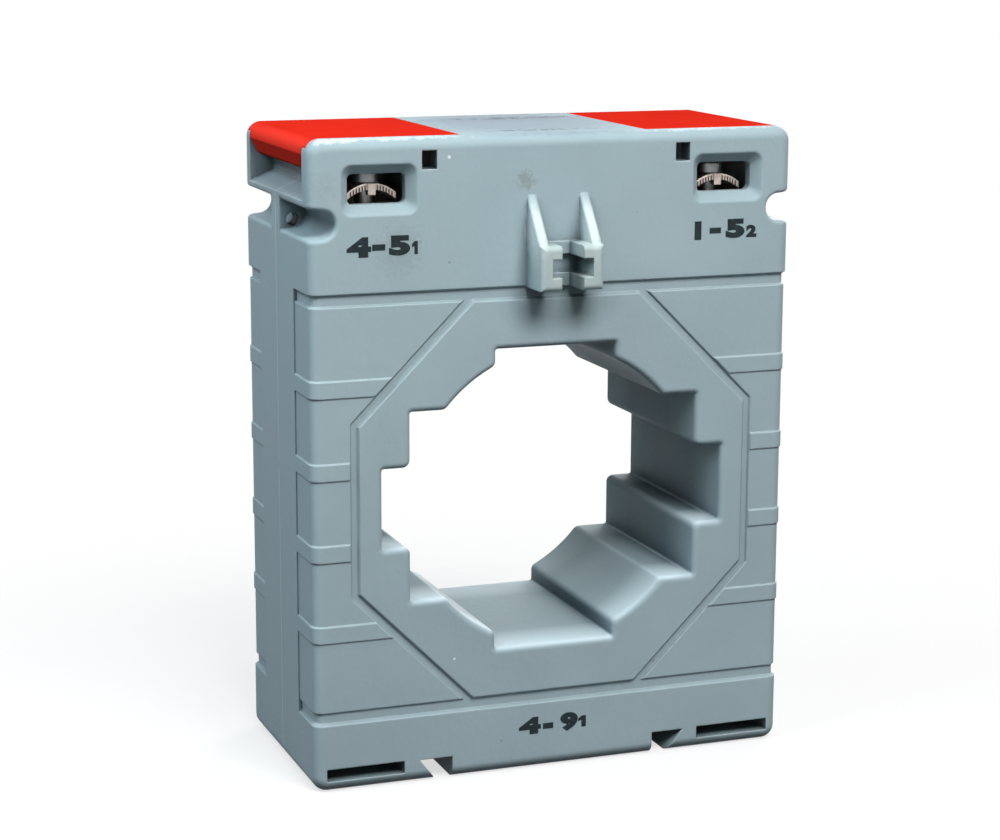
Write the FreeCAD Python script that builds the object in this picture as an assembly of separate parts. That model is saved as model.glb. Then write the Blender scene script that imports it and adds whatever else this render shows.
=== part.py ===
# Window-type current transformer, standing on its narrow edge.
# X is the width, Y the depth (front face at -Y), Z the height, all in mm.
# Two equal case halves meet at Y = 0. The ring core sits round the window.

import FreeCAD, Part
import math
import os

V = FreeCAD.Vector

# Window. The busbars that it takes set its slots, and the rest is built round it
wide_slot_w = 61.5
wide_slot_h = 13.5
mid_slot_h = 32.2
tall_slot_w = 21.5
round_d = 50.8
round_step = 0.85        # how much the middle and tall slots clear the round opening
mid_slot_w = round_d + round_step
tall_slot_h = round_d + round_step
window_rim_r = 1.05      # rounding of the window's front edge
window_inner_r = 1.3     # corners that stick into the window
window_outer_r = 0.4     # corners that reach into the case
window_least_r = 0.3
window_wall = 1.8
slots = [(wide_slot_w, wide_slot_h), (mid_slot_w, mid_slot_h), (tall_slot_w, tall_slot_h)]
window_reach = max(math.hypot(w, h) / 2 for w, h in slots)

# Ring core and winding, from the inside out
ring_gap = 0.3           # between the ring and the case
winding_t = 1.1
cap_t = 0.8
core_t = 3.0
sleeve_t = 0.3
ring_r0 = window_reach + window_wall + ring_gap
ring_r1 = ring_r0 + core_t + 2 * (cap_t + winding_t)
sleeve_r1 = ring_r1 + sleeve_t
seat_rib_t = 1.4

# Case. Its width follows from the ring
case_d = 40.0
wall = 2.0
outline_r = 2.5          # corners of the outline, seen from the front
rim_r = 2.0              # rounding from the front face to the sides
case_w = math.ceil(2 * (sleeve_r1 + ring_gap + wall))
half_w = case_w / 2
half_d = case_d / 2
front = -half_d
wall_in = front + wall   # inner side of the front wall

# Foot
dovetail_h = 3.9
dovetail_w = 5.85
dovetail_mouth_w = 2.95
dovetail_inset = 18.6    # from the side of the case
foot_slot_w = 13.7
foot_slot_h = 2.15
foot_slot_z0 = 1.9
foot_slot_inset = 2.15
foot_wall = 1.8
foot_top = dovetail_h + foot_wall
foot_slot_x1 = half_w - foot_slot_inset
foot_slot_x0 = foot_slot_x1 - foot_slot_w
dovetail_x1 = half_w - dovetail_inset
dovetail_x0 = dovetail_x1 - dovetail_w
dovetail_mouth_x = dovetail_x0 + dovetail_mouth_w
foot_core_x = dovetail_x0 - wall

# Heights, from the foot up over the ring to the terminal compartments
ring_lift = 1.7          # room under the ring
lead_room = 5.5          # room for the leads over the ring
floor_t = 2.5
compartment_h = 12.8
window_z = round(foot_top + ring_lift + sleeve_r1, 1)
floor_z = round(window_z + sleeve_r1 + lead_room + floor_t, 1)
floor_under = floor_z - floor_t
case_h = floor_z + compartment_h

# Relief on the front and round the corners
groove_w = 2.4           # across the top of the two long grooves
groove_depth = 0.6
groove_bevel = 0.4
octagon_land_x = 3.95    # from the slots to the octagon's edge
octagon_land_z = 8.2
octagon_land_diagonal = 4.9
octagon_groove = 1.6
panel_depth = 0.22
panel_bevel = 0.15
band_h = 2.75
band_pitch = 13.8
band_count = 4
relief_run = 9.5         # how far the relief runs back round the sides
octagon_half_x = wide_slot_w / 2 + octagon_land_x
octagon_half_z = tall_slot_h / 2 + octagon_land_z
octagon_half_diagonal = max(w + h for w, h in slots) / math.sqrt(8) + octagon_land_diagonal
relief_end = half_d - relief_run

# Holder for the screw that clamps the busbar
holder_w = 11.1
holder_h = 7.5
holder_reach = 7.0
holder_lift = 2.1        # above the octagon
holder_r = 0.9
holder_root = 0.3        # the holder starts this deep in the wall
gusset_w = 1.75
gusset_h = 7.9
gusset_r = 0.5
screw_channel_w = 3.9
screw_channel_web = 0.45
nut_w = 7.25
nut_h = 3.1
nut_lift = 2.25
nut_into_wall = 0.7
holder_z0 = window_z + octagon_half_z + holder_lift
holder_z1 = holder_z0 + holder_h
nut_z0 = holder_z0 + nut_lift

# Terminal compartments
cover_w = 26.6
cover_t = 1.5
partition_w = 1.5
chamber_wall = 3.65      # front wall beside the clamps
seat_wall = 2.1          # front wall beside the cover
end_recess = 5.5         # from the side of the case to the compartment
end_wall_t = 1.3
ramp_h = 4.5             # the recess outside the end wall slopes down from here
ramp_drop = 1.8
partition_x = half_w - cover_w
ledge_x = partition_x + partition_w
end_wall_x = half_w - end_recess
ramp_top = floor_z + ramp_h
chamber_y = front + chamber_wall
seat_y = front + seat_wall
seat_z = case_h - cover_t

# Terminal windows and latch windows
terminal_inset = 12.0
terminal_lift = 4.45
funnel_w = 12.9
funnel_h = 8.25
funnel_r = 2.0
funnel_depth = 2.0
funnel_rim_r = 0.45
port_w = 9.9
port_h = 5.0
port_r = 0.9
latch_inset = 20.5
latch_drop = 5.3
latch_w = 2.6
latch_h = 3.1
terminal_x = half_w - terminal_inset
terminal_z = floor_z + terminal_lift
latch_x = half_w - latch_inset
latch_z0 = case_h - latch_drop

# Notch in each side with a web at mid-depth and a hole through the web
notch_inset = 2.2        # centre of the round end
notch_drop = 0.95
notch_r = 2.35
notch_flare = 0.25
notch_edge_r = 0.7
notch_wall = 1.5
web_t = 4.9
web_hole_d = 2.4
web_hole_in = 0.15
web_hole_drop = 1.0
notch_x = half_w - notch_inset
notch_z = floor_z - notch_drop
notch_low = notch_z - notch_r - notch_wall
web_hole_x = notch_x - web_hole_in
web_hole_z = notch_z - web_hole_drop

# Terminal plates and leads
plate_t = 1.4
plate_gap_x0 = 0.7       # from the partition
plate_gap_x1 = 0.5       # from the end wall
plate_gap_y = 1.0
tab_reach = 4.0          # past the inner side of the partition
tab_half_y = 2.4
plate_x0 = ledge_x + plate_gap_x0
plate_x1 = end_wall_x - plate_gap_x1
plate_half_y = -chamber_y - plate_gap_y
tab_x0 = partition_x - tab_reach
lead_gap_deg = 12.0      # gap in the winding at the top for the leads
lead_r = 0.8
lead_bend_r = 1.6
lead_start_x = 1.8
lead_drop = 2.1          # from the compartment floor down to the run
lead_inset = 0.6         # the lead meets the tab this far from its end

# Clamps, the screws are undone and carry their saddles
clamp_inset = 4.8        # from the front wall to the screw
screw_r = 1.75
screw_sink = 0.9         # the screw ends this far under the floor
pit_r = 2.2
pit_gap = 0.4
head_r = 3.0
head_lift = 5.1          # the saddle hangs under the head, this far over the floor
head_h = 2.3
head_round = 0.9
drive_w = 0.8
drive_depth = 1.2
drive_half = 2.1
right_clamp_drop = 0.4   # the right clamps are screwed in a little further
saddle_half_x = 4.2
saddle_half_y = 3.9
saddle_t = 1.1
saddle_rise = 1.6        # height of the arch
saddle_hole_play = 0.15
nib_half_x = 0.65
nib_h = 1.95
nib_reach = 0.35
nib_root = 1.0
tooth_w = 0.22
tooth_depth = 0.8
tooth_pitch = 0.5
tooth_start = 0.4        # from the nib to the first tooth gap
tooth_roof = 0.3         # metal left over each tooth gap
tooth_count = 6
clamp_y = -chamber_y - clamp_inset
screw_end = floor_z - screw_sink
head_z = floor_z + head_lift

# Covers
flap_t = 1.6
flap_bevel_h = 2.7
flap_drop = 5.3
nose_h = 0.4
nose_reach = 0.4
leg_t = 1.1
cover_rib_t = 1.2
cover_rib_h = 1.2
cover_rib_inset = 2.0
flap_z = case_h - flap_drop

# Strips that locate the two case halves
tongue_t = 0.8
tongue_reach = 1.2
tongue_root = 0.5
tongue_margin = 3.0

clearance = 0.1
over = 1.0               # cutting tools run past the faces by this
tol = 1e-6


def box(x0, x1, y0, y1, z0, z1):
    return Part.makeBox(x1 - x0, y1 - y0, z1 - z0, V(x0, y0, z0))


def polygon(points):
    return Part.makePolygon(points + [points[0]])


def prism_y(points, y0, y1):
    """Extrudes a polygon of (x, z) points from y0 to y1."""
    wire = polygon([V(x, y0, z) for x, z in points])
    return Part.Face(wire).extrude(V(0, y1 - y0, 0))


def prism_x(points, x0, x1):
    """Extrudes a polygon of (y, z) points from x0 to x1."""
    wire = polygon([V(x0, y, z) for y, z in points])
    return Part.Face(wire).extrude(V(x1 - x0, 0, 0))


def cylinder_y(x, z, r, y0, y1):
    return Part.makeCylinder(r, y1 - y0, V(x, y0, z), V(0, 1, 0))


def cylinder_z(x, y, r, z0, z1):
    return Part.makeCylinder(r, z1 - z0, V(x, y, z0), V(0, 0, 1))


def mirrored(shape):
    return shape.mirror(V(0, 0, 0), V(1, 0, 0))


def both_sides(shape):
    return [shape, mirrored(shape)]


def turned(shape):
    """Turns a front piece round to the rear."""
    copy = shape.copy()
    copy.rotate(V(0, 0, 0), V(0, 0, 1), 180)
    return copy


def edges_where(shape, test):
    found = []
    for edge in shape.Edges:
        points = [v.Point for v in edge.Vertexes]
        points.append(edge.valueAt((edge.FirstParameter + edge.LastParameter) / 2))
        if all(test(p) for p in points):
            found.append(edge)
    return found


def joined(shapes):
    return shapes[0].fuse(shapes[1:]).removeSplitter()


def rounded_rectangle(x, y, z, w, h, r):
    """Wire in a plane of constant y, centred on (x, z)."""
    a = w / 2 - r
    b = h / 2 - r
    k = r * math.sqrt(0.5)
    edges = []
    corners = [(1, 1), (-1, 1), (-1, -1), (1, -1)]
    for i, (sx, sz) in enumerate(corners):
        cx = x + sx * a
        cz = z + sz * b
        along_x = V(cx + sx * r, y, cz)
        along_z = V(cx, y, cz + sz * r)
        middle = V(cx + sx * k, y, cz + sz * k)
        start, end = (along_x, along_z) if i % 2 == 0 else (along_z, along_x)
        edges.append(Part.Arc(start, middle, end).toShape())
        nx, nz = corners[(i + 1) % 4]
        if i % 2 == 0:
            follow = V(x + nx * a, y, cz + sz * r)
        else:
            follow = V(cx + sx * r, y, z + nz * b)
        edges.append(Part.makeLine(end, follow))
    return Part.Wire(edges)


def window_prism(y0, y1, grow):
    """The stepped window as a solid. All its walls move out by grow."""
    solids = [cylinder_y(0, window_z, round_d / 2 + grow, y0, y1)]
    for w, h in slots:
        x = w / 2 + grow
        z = h / 2 + grow
        solids.append(box(-x, x, y0, y1, window_z - z, window_z + z))
    solid = joined(solids)
    tips = [(w / 2 + grow, h / 2 + grow) for w, h in slots]

    def corner_edges(at_tip):
        """Edges along the depth, at the slots' own corners or where two slots meet."""
        found = []
        for edge in solid.Edges:
            p, q = edge.Vertexes[0].Point, edge.Vertexes[-1].Point
            if math.hypot(p.x - q.x, p.z - q.z) > tol or edge.Length < tol:
                continue
            x, z = abs(p.x), abs(p.z - window_z)
            if any(math.hypot(x - a, z - b) < tol for a, b in tips) == at_tip:
                found.append(edge)
        return found

    solid = solid.makeFillet(max(window_inner_r - grow, window_least_r), corner_edges(False))
    return solid.makeFillet(window_outer_r + max(grow, 0), corner_edges(True))


def wrap(z_low, z_high, depth, bevel_low, bevel_high):
    """Cutter that runs along the front, round both corners and back on the sides.
    Its walls lean by the two bevels."""
    def profile(place):
        section = [(over, z_low), (over, z_high), (0, z_high), (-depth, z_high - bevel_high),
                   (-depth, z_low + bevel_low), (0, z_low)]
        return [place(n, z) for n, z in section]

    corner_x = half_w - rim_r
    corner_y = front + rim_r
    straight = prism_x(profile(lambda n, z: (front - n, z)), -corner_x, corner_x)
    ring = Part.Face(polygon(profile(lambda n, z: V(corner_x + rim_r + n, corner_y, z))))
    corner = ring.revolve(V(corner_x, corner_y, 0), V(0, 0, 1), -90)
    side = prism_y(profile(lambda n, z: (half_w + n, z)), corner_y, -relief_end)
    return joined([straight] + both_sides(corner) + both_sides(side))


def octagon_wire(y, grow):
    x = octagon_half_x + grow
    z = octagon_half_z + grow
    d = (octagon_half_diagonal + grow) * math.sqrt(2)
    quarter = [(x, d - x), (d - z, z)]
    points = quarter + [(-a, b) for a, b in reversed(quarter)]
    points += [(-a, -b) for a, b in quarter] + [(a, -b) for a, b in reversed(quarter)]
    return polygon([V(a, y, window_z + b) for a, b in points])


def octagon_solid(grow_at_face, slope, y0, y1):
    """Octagonal frustum. Its size changes by slope for each mm of depth."""
    near = octagon_wire(y0, grow_at_face + slope * (y0 - front))
    far = octagon_wire(y1, grow_at_face + slope * (y1 - front))
    return Part.makeLoft([near, far], True, True)


def case_block():
    """Half of the case as a full block with its outside rounding."""
    outline = rounded_rectangle(0, front, case_h / 2, case_w, case_h, outline_r)
    block = Part.Face(outline).extrude(V(0, half_d, 0))
    rim = edges_where(block, lambda p: abs(p.y - front) < tol)
    return block.makeFillet(rim_r, rim)


def relief():
    """Everything that is cut into the front: grooves, recessed panels, octagon groove."""
    top_groove = window_z + octagon_half_z
    bottom_groove = window_z - octagon_half_z
    cutters = [
        wrap(top_groove, top_groove + groove_w, groove_depth, groove_bevel, groove_bevel),
        wrap(bottom_groove - groove_w, bottom_groove, groove_depth, groove_bevel, groove_bevel),
    ]
    middle = (band_count - 1) / 2
    centres = [window_z + (i - middle) * band_pitch for i in range(band_count)]
    lows = [bottom_groove - groove_bevel] + [c + band_h / 2 for c in centres]
    highs = [c - band_h / 2 for c in centres] + [top_groove + groove_bevel]
    panels = []
    for i, (low, high) in enumerate(zip(lows, highs)):
        bevel_low = 0 if i == 0 else panel_bevel
        bevel_high = 0 if i == band_count else panel_bevel
        panels.append(wrap(low, high, panel_depth, bevel_low, bevel_high))
    keep = octagon_solid(octagon_groove, 0, front - 2 * over, front + over)
    cutters += [panel.cut(keep) for panel in panels]
    lean = groove_bevel / groove_depth
    outer = octagon_solid(octagon_groove + panel_depth * lean, -lean, front - over, front + groove_depth)
    pad = octagon_solid(0, lean, front - over, front + groove_depth)
    cutters.append(outer.cut(pad))
    return cutters


def notch_prism(y0, y1, grow):
    r = notch_r + grow
    x1 = half_w + over
    mouth = r + notch_flare
    throat = prism_y([(notch_x, notch_z - r), (x1, notch_z - mouth),
                      (x1, notch_z + mouth), (notch_x, notch_z + r)], y0, y1)
    return joined([throat, cylinder_y(notch_x, notch_z, r, y0, y1)])


def holder():
    """Block with a slot for the nut and a channel for the busbar screw, and two gussets."""
    half = holder_w / 2
    tip = front - holder_reach
    root = front + holder_root
    low = holder_z1 - holder_root
    top = holder_z1 + gusset_h
    block = box(-half, half, tip, root, holder_z0, holder_z1)
    block = block.makeFillet(holder_r, edges_where(block, lambda p: abs(p.y - tip) < tol))
    gusset = prism_x([(tip + holder_r, low), (tip + holder_r, holder_z1), (front, top),
                      (root, top), (root, low)], half - gusset_w, half)
    slope = edges_where(gusset, lambda p: p.y < front + tol and p.z > holder_z1 - tol
                        and min(abs(p.x - half), abs(p.x - half + gusset_w)) < tol)
    gusset = gusset.makeFillet(gusset_r, slope)
    return joined([block] + both_sides(gusset))


def holder_openings():
    tip = front - holder_reach
    channel = screw_channel_w / 2
    nut = nut_w / 2
    return [
        box(-channel, channel, tip - over, front - screw_channel_web,
            holder_z0 - over, holder_z1 + over),
        box(-nut, nut, tip - over, front + nut_into_wall, nut_z0, nut_z0 + nut_h),
    ]


def ring_chamber():
    """Room for the ring, the leads and the corners beside the notches."""
    x1 = half_w - wall
    beside_notch = notch_x - notch_r - notch_wall
    between = partition_x - partition_w
    room = [
        box(-x1, x1, wall_in, 0, foot_top, notch_low),
        box(-beside_notch, beside_notch, wall_in, 0, notch_low - over, floor_under),
        box(-foot_core_x, foot_core_x, wall_in, 0, wall, foot_top + over),
        box(-between, between, wall_in, 0, floor_under - over, case_h - wall),
    ]
    return joined(room).cut(window_prism(wall_in - over, over, window_wall))


def seat_ribs():
    """Short ribs from the window wall that carry the ring inside."""
    ribs = []
    for x1 in (tall_slot_w / 2, mid_slot_w / 2):
        x0 = x1 - seat_rib_t
        ribs += both_sides(box(x0, x1, wall_in, 0, window_z - ring_r0, window_z + ring_r0))
    ribs = joined(ribs).common(cylinder_y(0, window_z, ring_r0, wall_in, 0))
    return ribs.cut(window_prism(wall_in - over, over, window_wall / 2))


def terminal_chamber():
    """Compartment on the right, the seat of its cover and the recess at its end."""
    end = end_wall_x + end_wall_t
    out = half_w + over
    roof = case_h + over
    ramp_end = ramp_top - ramp_drop * (out - end) / (half_w - end)
    recess = prism_y([(end, ramp_top), (end, roof), (out, roof), (out, ramp_end)], chamber_y, 0)
    return joined([
        box(ledge_x, end_wall_x, chamber_y, 0, floor_z, roof),
        box(partition_x, out, seat_y, 0, seat_z, roof),
        recess,
    ])


def terminal_window():
    spread = 1 + over / funnel_depth
    near = rounded_rectangle(terminal_x, front - over, terminal_z,
                             port_w + (funnel_w - port_w) * spread,
                             port_h + (funnel_h - port_h) * spread, funnel_r)
    far = rounded_rectangle(terminal_x, front + funnel_depth, terminal_z, port_w, port_h, port_r)
    funnel = Part.makeLoft([near, far], True, True)
    port = Part.Face(far).extrude(V(0, chamber_wall - funnel_depth + over, 0))
    return joined([funnel, port])


def latch_window():
    half = latch_w / 2
    return box(latch_x - half, latch_x + half, front - over, chamber_y + over,
               latch_z0, latch_z0 + latch_h)


def foot_openings():
    slot = box(foot_slot_x0, foot_slot_x1, front - over, 0,
               foot_slot_z0, foot_slot_z0 + foot_slot_h)
    below = (dovetail_x1 - dovetail_mouth_x) * over / dovetail_h
    dovetail = prism_y([(dovetail_x0, -over), (dovetail_x0, dovetail_h),
                        (dovetail_x1, dovetail_h), (dovetail_mouth_x - below, -over)],
                       front - over, 0)
    return both_sides(slot) + both_sides(dovetail)


def floor_openings():
    """Slot in each partition for the tab of the terminal plate, pits for the screw ends."""
    tab = box(partition_x - partition_w - over, ledge_x + over, -tab_half_y, 0,
              floor_z, floor_z + plate_t)
    pit = cylinder_z(terminal_x, -clamp_y, pit_r, screw_end - pit_gap, floor_z + over)
    return both_sides(tab) + both_sides(pit)


def on_front(x0, x1, z0, z1):
    """Test for points of the front face within a range of x, left or right, and of z."""
    return lambda p: abs(p.y - front) < tol and x0 < abs(p.x) < x1 and z0 < p.z < z1


def case_half():
    body = case_block().cut(window_prism(front - over, over, 0))
    inside = rim_r + over
    window = edges_where(body, on_front(-over, half_w - inside, inside, case_h - inside))
    body = body.makeFillet(window_rim_r, window)
    body = body.cut(relief())
    body = body.cut(ring_chamber())
    body = body.fuse([seat_ribs()])
    body = body.cut(both_sides(terminal_chamber()) + both_sides(terminal_window()))
    half_x = funnel_w / 2 + tol
    half_z = funnel_h / 2 + tol
    funnel = edges_where(body, on_front(terminal_x - half_x, terminal_x + half_x,
                                        terminal_z - half_z, terminal_z + half_z))
    body = body.makeFillet(funnel_rim_r, funnel)
    body = body.cut(both_sides(notch_prism(front - over, -web_t / 2, 0)))
    reach = notch_r + notch_flare + tol
    notch = edges_where(body, on_front(notch_x - reach, half_w, notch_z - reach, notch_z + reach))
    body = body.makeFillet(notch_edge_r, notch)
    openings = both_sides(cylinder_y(web_hole_x, web_hole_z, web_hole_d / 2, -web_t, over))
    openings += both_sides(latch_window()) + foot_openings() + floor_openings()
    body = body.cut(openings)
    body = body.fuse([holder()])
    body = body.cut(holder_openings())
    return body.removeSplitter()


def tongues(grow):
    """Strips on the parting plane that locate the two halves."""
    half_t = tongue_t / 2 + grow
    x = half_w - wall / 2
    side = box(x - half_t, x + half_t, -tongue_root, tongue_reach + grow,
               foot_top + tongue_margin - grow, notch_low - tongue_margin + grow)
    return both_sides(side)


def case_halves():
    half = case_half()
    front_half = half.fuse(tongues(0)).removeSplitter()
    rear_half = turned(half).cut(tongues(clearance)).removeSplitter()
    return front_half, rear_half


def ring(r0, r1, y0, y1):
    tube = cylinder_y(0, window_z, r1, y0, y1)
    return tube.cut(cylinder_y(0, window_z, r0, y0 - over, y1 + over))


def ring_with_gap(face):
    """Turns a section round the ring axis and leaves the lead gap at the top."""
    face.rotate(V(0, 0, window_z), V(0, 1, 0), lead_gap_deg / 2)
    return face.revolve(V(0, 0, window_z), V(0, 1, 0), 360 - lead_gap_deg)


def section(r0, r1, half_y):
    z = window_z
    return Part.Face(polygon([V(0, -half_y, z + r0), V(0, half_y, z + r0),
                              V(0, half_y, z + r1), V(0, -half_y, z + r1)]))


def ring_parts():
    half_y = half_d - wall
    cap_r0 = ring_r0 + winding_t
    cap_r1 = ring_r1 - winding_t
    cap_y = half_y - winding_t
    core_r0 = cap_r0 + cap_t
    core_r1 = cap_r1 - cap_t
    core_y = cap_y - cap_t
    core = ring(core_r0, core_r1, -core_y, core_y)
    cap = ring(cap_r0, cap_r1, -cap_y, 0).cut(ring(core_r0, core_r1, -core_y, over))
    layer = section(ring_r0, ring_r1, half_y).cut(section(cap_r0, cap_r1, cap_y)).Faces[0]
    winding = ring_with_gap(layer)
    sleeve = ring_with_gap(section(ring_r1, sleeve_r1, half_y))
    return core, cap, winding, sleeve


def lead():
    """Insulated wire from the end of the winding up to the tab, right side."""
    rise = ring_r1 - winding_t + clearance
    x0 = rise * math.tan(math.radians(lead_gap_deg / 2))
    z0 = window_z + rise + lead_r
    x1 = lead_start_x
    x2 = tab_x0 + lead_r + lead_inset
    z2 = floor_under - lead_drop
    z3 = floor_z
    r = lead_bend_r
    k = r * (1 - math.sqrt(0.5))
    edges = [
        Part.makeLine(V(x0, 0, z0), V(x1 + r, 0, z0)),
        Part.Arc(V(x1 + r, 0, z0), V(x1 + k, 0, z0 + k), V(x1, 0, z0 + r)).toShape(),
        Part.makeLine(V(x1, 0, z0 + r), V(x1, 0, z2 - r)),
        Part.Arc(V(x1, 0, z2 - r), V(x1 + k, 0, z2 - k), V(x1 + r, 0, z2)).toShape(),
        Part.makeLine(V(x1 + r, 0, z2), V(x2 - r, 0, z2)),
        Part.Arc(V(x2 - r, 0, z2), V(x2 - k, 0, z2 + k), V(x2, 0, z2 + r)).toShape(),
        Part.makeLine(V(x2, 0, z2 + r), V(x2, 0, z3)),
    ]
    path = Part.Wire(edges)
    rim = Part.Wire(Part.makeCircle(lead_r, V(x0, 0, z0), V(1, 0, 0)))
    return path.makePipeShell([rim], True, False)


def terminal_plate():
    plate = box(plate_x0, plate_x1, -plate_half_y, plate_half_y, floor_z, floor_z + plate_t)
    tab = box(tab_x0, plate_x0, -tab_half_y + clearance, tab_half_y - clearance,
              floor_z, floor_z + plate_t)
    holes = [cylinder_z(terminal_x, s * clamp_y, screw_r, floor_z - over, floor_z + plate_t + over)
             for s in (-1, 1)]
    return joined([plate, tab]).cut(holes)


def clamp_saddle(drop):
    """Arched saddle under the screw head, front right clamp."""
    top = head_z - drop
    y0 = -clamp_y - saddle_half_y
    y1 = -clamp_y + saddle_half_y
    radius = (saddle_half_x ** 2 + saddle_rise ** 2) / saddle_rise / 2
    arch_z = top - radius
    arch = cylinder_y(terminal_x, arch_z, radius, y0, y1)
    arch = arch.cut(cylinder_y(terminal_x, arch_z - saddle_t, radius, y0 - over, y1 + over))
    low = top - saddle_rise - saddle_t - over
    arch = arch.common(box(terminal_x - saddle_half_x, terminal_x + saddle_half_x, y0, y1,
                           low, top + over))
    nib_z = (top - nib_h, top - clearance)
    x0, x1 = terminal_x - nib_half_x, terminal_x + nib_half_x
    nibs = [box(x0, x1, y0 - nib_reach, y0 + nib_root, *nib_z),
            box(x0, x1, y1 - nib_root, y1 + nib_reach, *nib_z)]
    gaps = []
    for i in range(tooth_count):
        x = nib_half_x + tooth_start + tooth_pitch * i
        roof = arch_z + math.sqrt(radius ** 2 - x ** 2) - tooth_roof
        for side in (-1, 1):
            left = terminal_x + side * x - tooth_w / 2
            gaps.append(box(left, left + tooth_w, y0 - over, y0 + tooth_depth, low, roof))
            gaps.append(box(left, left + tooth_w, y1 - tooth_depth, y1 + over, low, roof))
    saddle = joined([arch.cut(gaps)] + nibs)
    return saddle.cut(cylinder_z(terminal_x, -clamp_y, screw_r + saddle_hole_play, low, top + over))


def clamp_screw(drop):
    """Pan-head screw with a cross slot, front right clamp."""
    base = head_z - drop
    top = base + head_h
    head = cylinder_z(terminal_x, -clamp_y, head_r, base, top)
    head = head.makeFillet(head_round, edges_where(head, lambda p: abs(p.z - top) < tol))
    shank = cylinder_z(terminal_x, -clamp_y, screw_r, screw_end - drop / 2, base + head_h / 2)
    half = drive_w / 2
    drive = [
        box(terminal_x - drive_half, terminal_x + drive_half, -clamp_y - half, -clamp_y + half,
            top - drive_depth, top + over),
        box(terminal_x - half, terminal_x + half, -clamp_y - drive_half, -clamp_y + drive_half,
            top - drive_depth, top + over),
    ]
    return joined([head, shank]).cut(drive)


def terminal_cover():
    """Cover on the right: flat top, flap down the outer end, two snap noses."""
    half_y = -seat_y - clearance / 2
    plate = box(partition_x + clearance, half_w, -half_y, half_y, seat_z, case_h)
    root = seat_z + cover_t / 2
    flap_y = -chamber_y - 2 * clearance
    inside = half_w - flap_t
    flap = prism_y([(inside, root), (inside, flap_z), (half_w, flap_z + flap_bevel_h),
                    (half_w, root)], -flap_y, flap_y)
    cover = joined([plate, flap])
    corner = edges_where(cover, lambda p: abs(p.z - case_h) < tol and abs(p.x - half_w) < tol)
    cover = cover.makeFillet(outline_r, corner)
    pieces = [cover]
    nose_top = latch_z0 + latch_h
    leg_x0 = latch_x - latch_w / 2 + clearance
    leg_x1 = latch_x + latch_w / 2 - clearance
    for s in (-1, 1):
        face = s * (-chamber_y - clearance)
        y0, y1 = sorted((face, face - s * leg_t))
        pieces.append(box(leg_x0, leg_x1, y0, y1, nose_top - nose_h, root))
        y0, y1 = sorted((face - s * leg_t / 2, face + s * nose_reach))
        pieces.append(box(leg_x0, leg_x1, y0, y1, nose_top - nose_h, nose_top))
    pieces.append(box(ledge_x + cover_rib_inset, end_wall_x - cover_rib_inset,
                      -cover_rib_t / 2, cover_rib_t / 2, seat_z - cover_rib_h, root))
    return joined(pieces)


def main():
    os.makedirs("parts", exist_ok=True)
    nodes = {}
    nodes["front_shell"], nodes["rear_shell"] = case_halves()
    core, cap, winding, sleeve = ring_parts()
    nodes["ring_core"] = core
    nodes["core_cap_front"] = cap
    nodes["core_cap_rear"] = turned(cap)
    nodes["secondary_winding"] = winding
    nodes["winding_sleeve"] = sleeve
    nodes["lead_right"] = lead()
    nodes["lead_left"] = mirrored(lead())
    nodes["terminal_plate_right"] = terminal_plate()
    nodes["terminal_plate_left"] = mirrored(terminal_plate())
    for piece, make in (("clamp_saddle", clamp_saddle), ("clamp_screw", clamp_screw)):
        nodes[piece + "_front_right"] = make(right_clamp_drop)
        nodes[piece + "_front_left"] = mirrored(make(0))
        nodes[piece + "_rear_right"] = mirrored(turned(make(right_clamp_drop)))
        nodes[piece + "_rear_left"] = turned(make(0))
    nodes["terminal_cover_right"] = terminal_cover()
    nodes["terminal_cover_left"] = mirrored(terminal_cover())
    for name, shape in nodes.items():
        solids = shape.Solids
        print(name, "solids", len(solids), "valid", shape.isValid(),
              "volume", round(shape.Volume, 1), "box", shape.BoundBox)
        shape = solids[0] if len(solids) == 1 else shape
        shape.exportStep("parts/" + name + ".step")


main()
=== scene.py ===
# %% [markdown]
# A window-type current transformer, photographed on white. The grey case is two equal
# moulded halves, the red covers close the terminals at its top corners, and black marks
# are printed on its faces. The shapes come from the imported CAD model, which this script
# loads as a fixed frame. What is made here is the surface: how the plastic was moulded,
# handled and printed, and the light and camera that show it.

import math

import bmesh
import bpy
from mathutils import Matrix, Vector


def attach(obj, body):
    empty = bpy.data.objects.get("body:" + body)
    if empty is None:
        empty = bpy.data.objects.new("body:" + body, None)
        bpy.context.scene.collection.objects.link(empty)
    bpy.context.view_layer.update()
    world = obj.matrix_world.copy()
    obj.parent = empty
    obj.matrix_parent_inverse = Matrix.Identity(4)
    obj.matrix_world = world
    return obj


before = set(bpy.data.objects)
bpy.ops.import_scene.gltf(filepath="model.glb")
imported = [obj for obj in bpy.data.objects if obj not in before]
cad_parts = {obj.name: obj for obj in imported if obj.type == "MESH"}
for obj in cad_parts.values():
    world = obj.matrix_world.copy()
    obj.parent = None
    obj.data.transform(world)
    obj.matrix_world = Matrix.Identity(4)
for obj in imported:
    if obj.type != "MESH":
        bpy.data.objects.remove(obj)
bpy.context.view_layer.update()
MM = 0.001

# %% [markdown]
# The camera comes first, so that each later choice can be judged in the right view. The
# photograph was taken from the left and a little above with a long lens. The place, the
# direction and the focal length were worked out from the corners of the case, because
# the edges of a box in perspective fix all of them.

# %% Camera
CAMERA_PLACE = Vector((-151.24, -399.53, 145.39)) * MM
CAMERA_YAW = math.radians(20.39)
CAMERA_PITCH = math.radians(11.64)
CAMERA_ROLL = math.radians(0.22)
LENS_MM = 88.98

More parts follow.
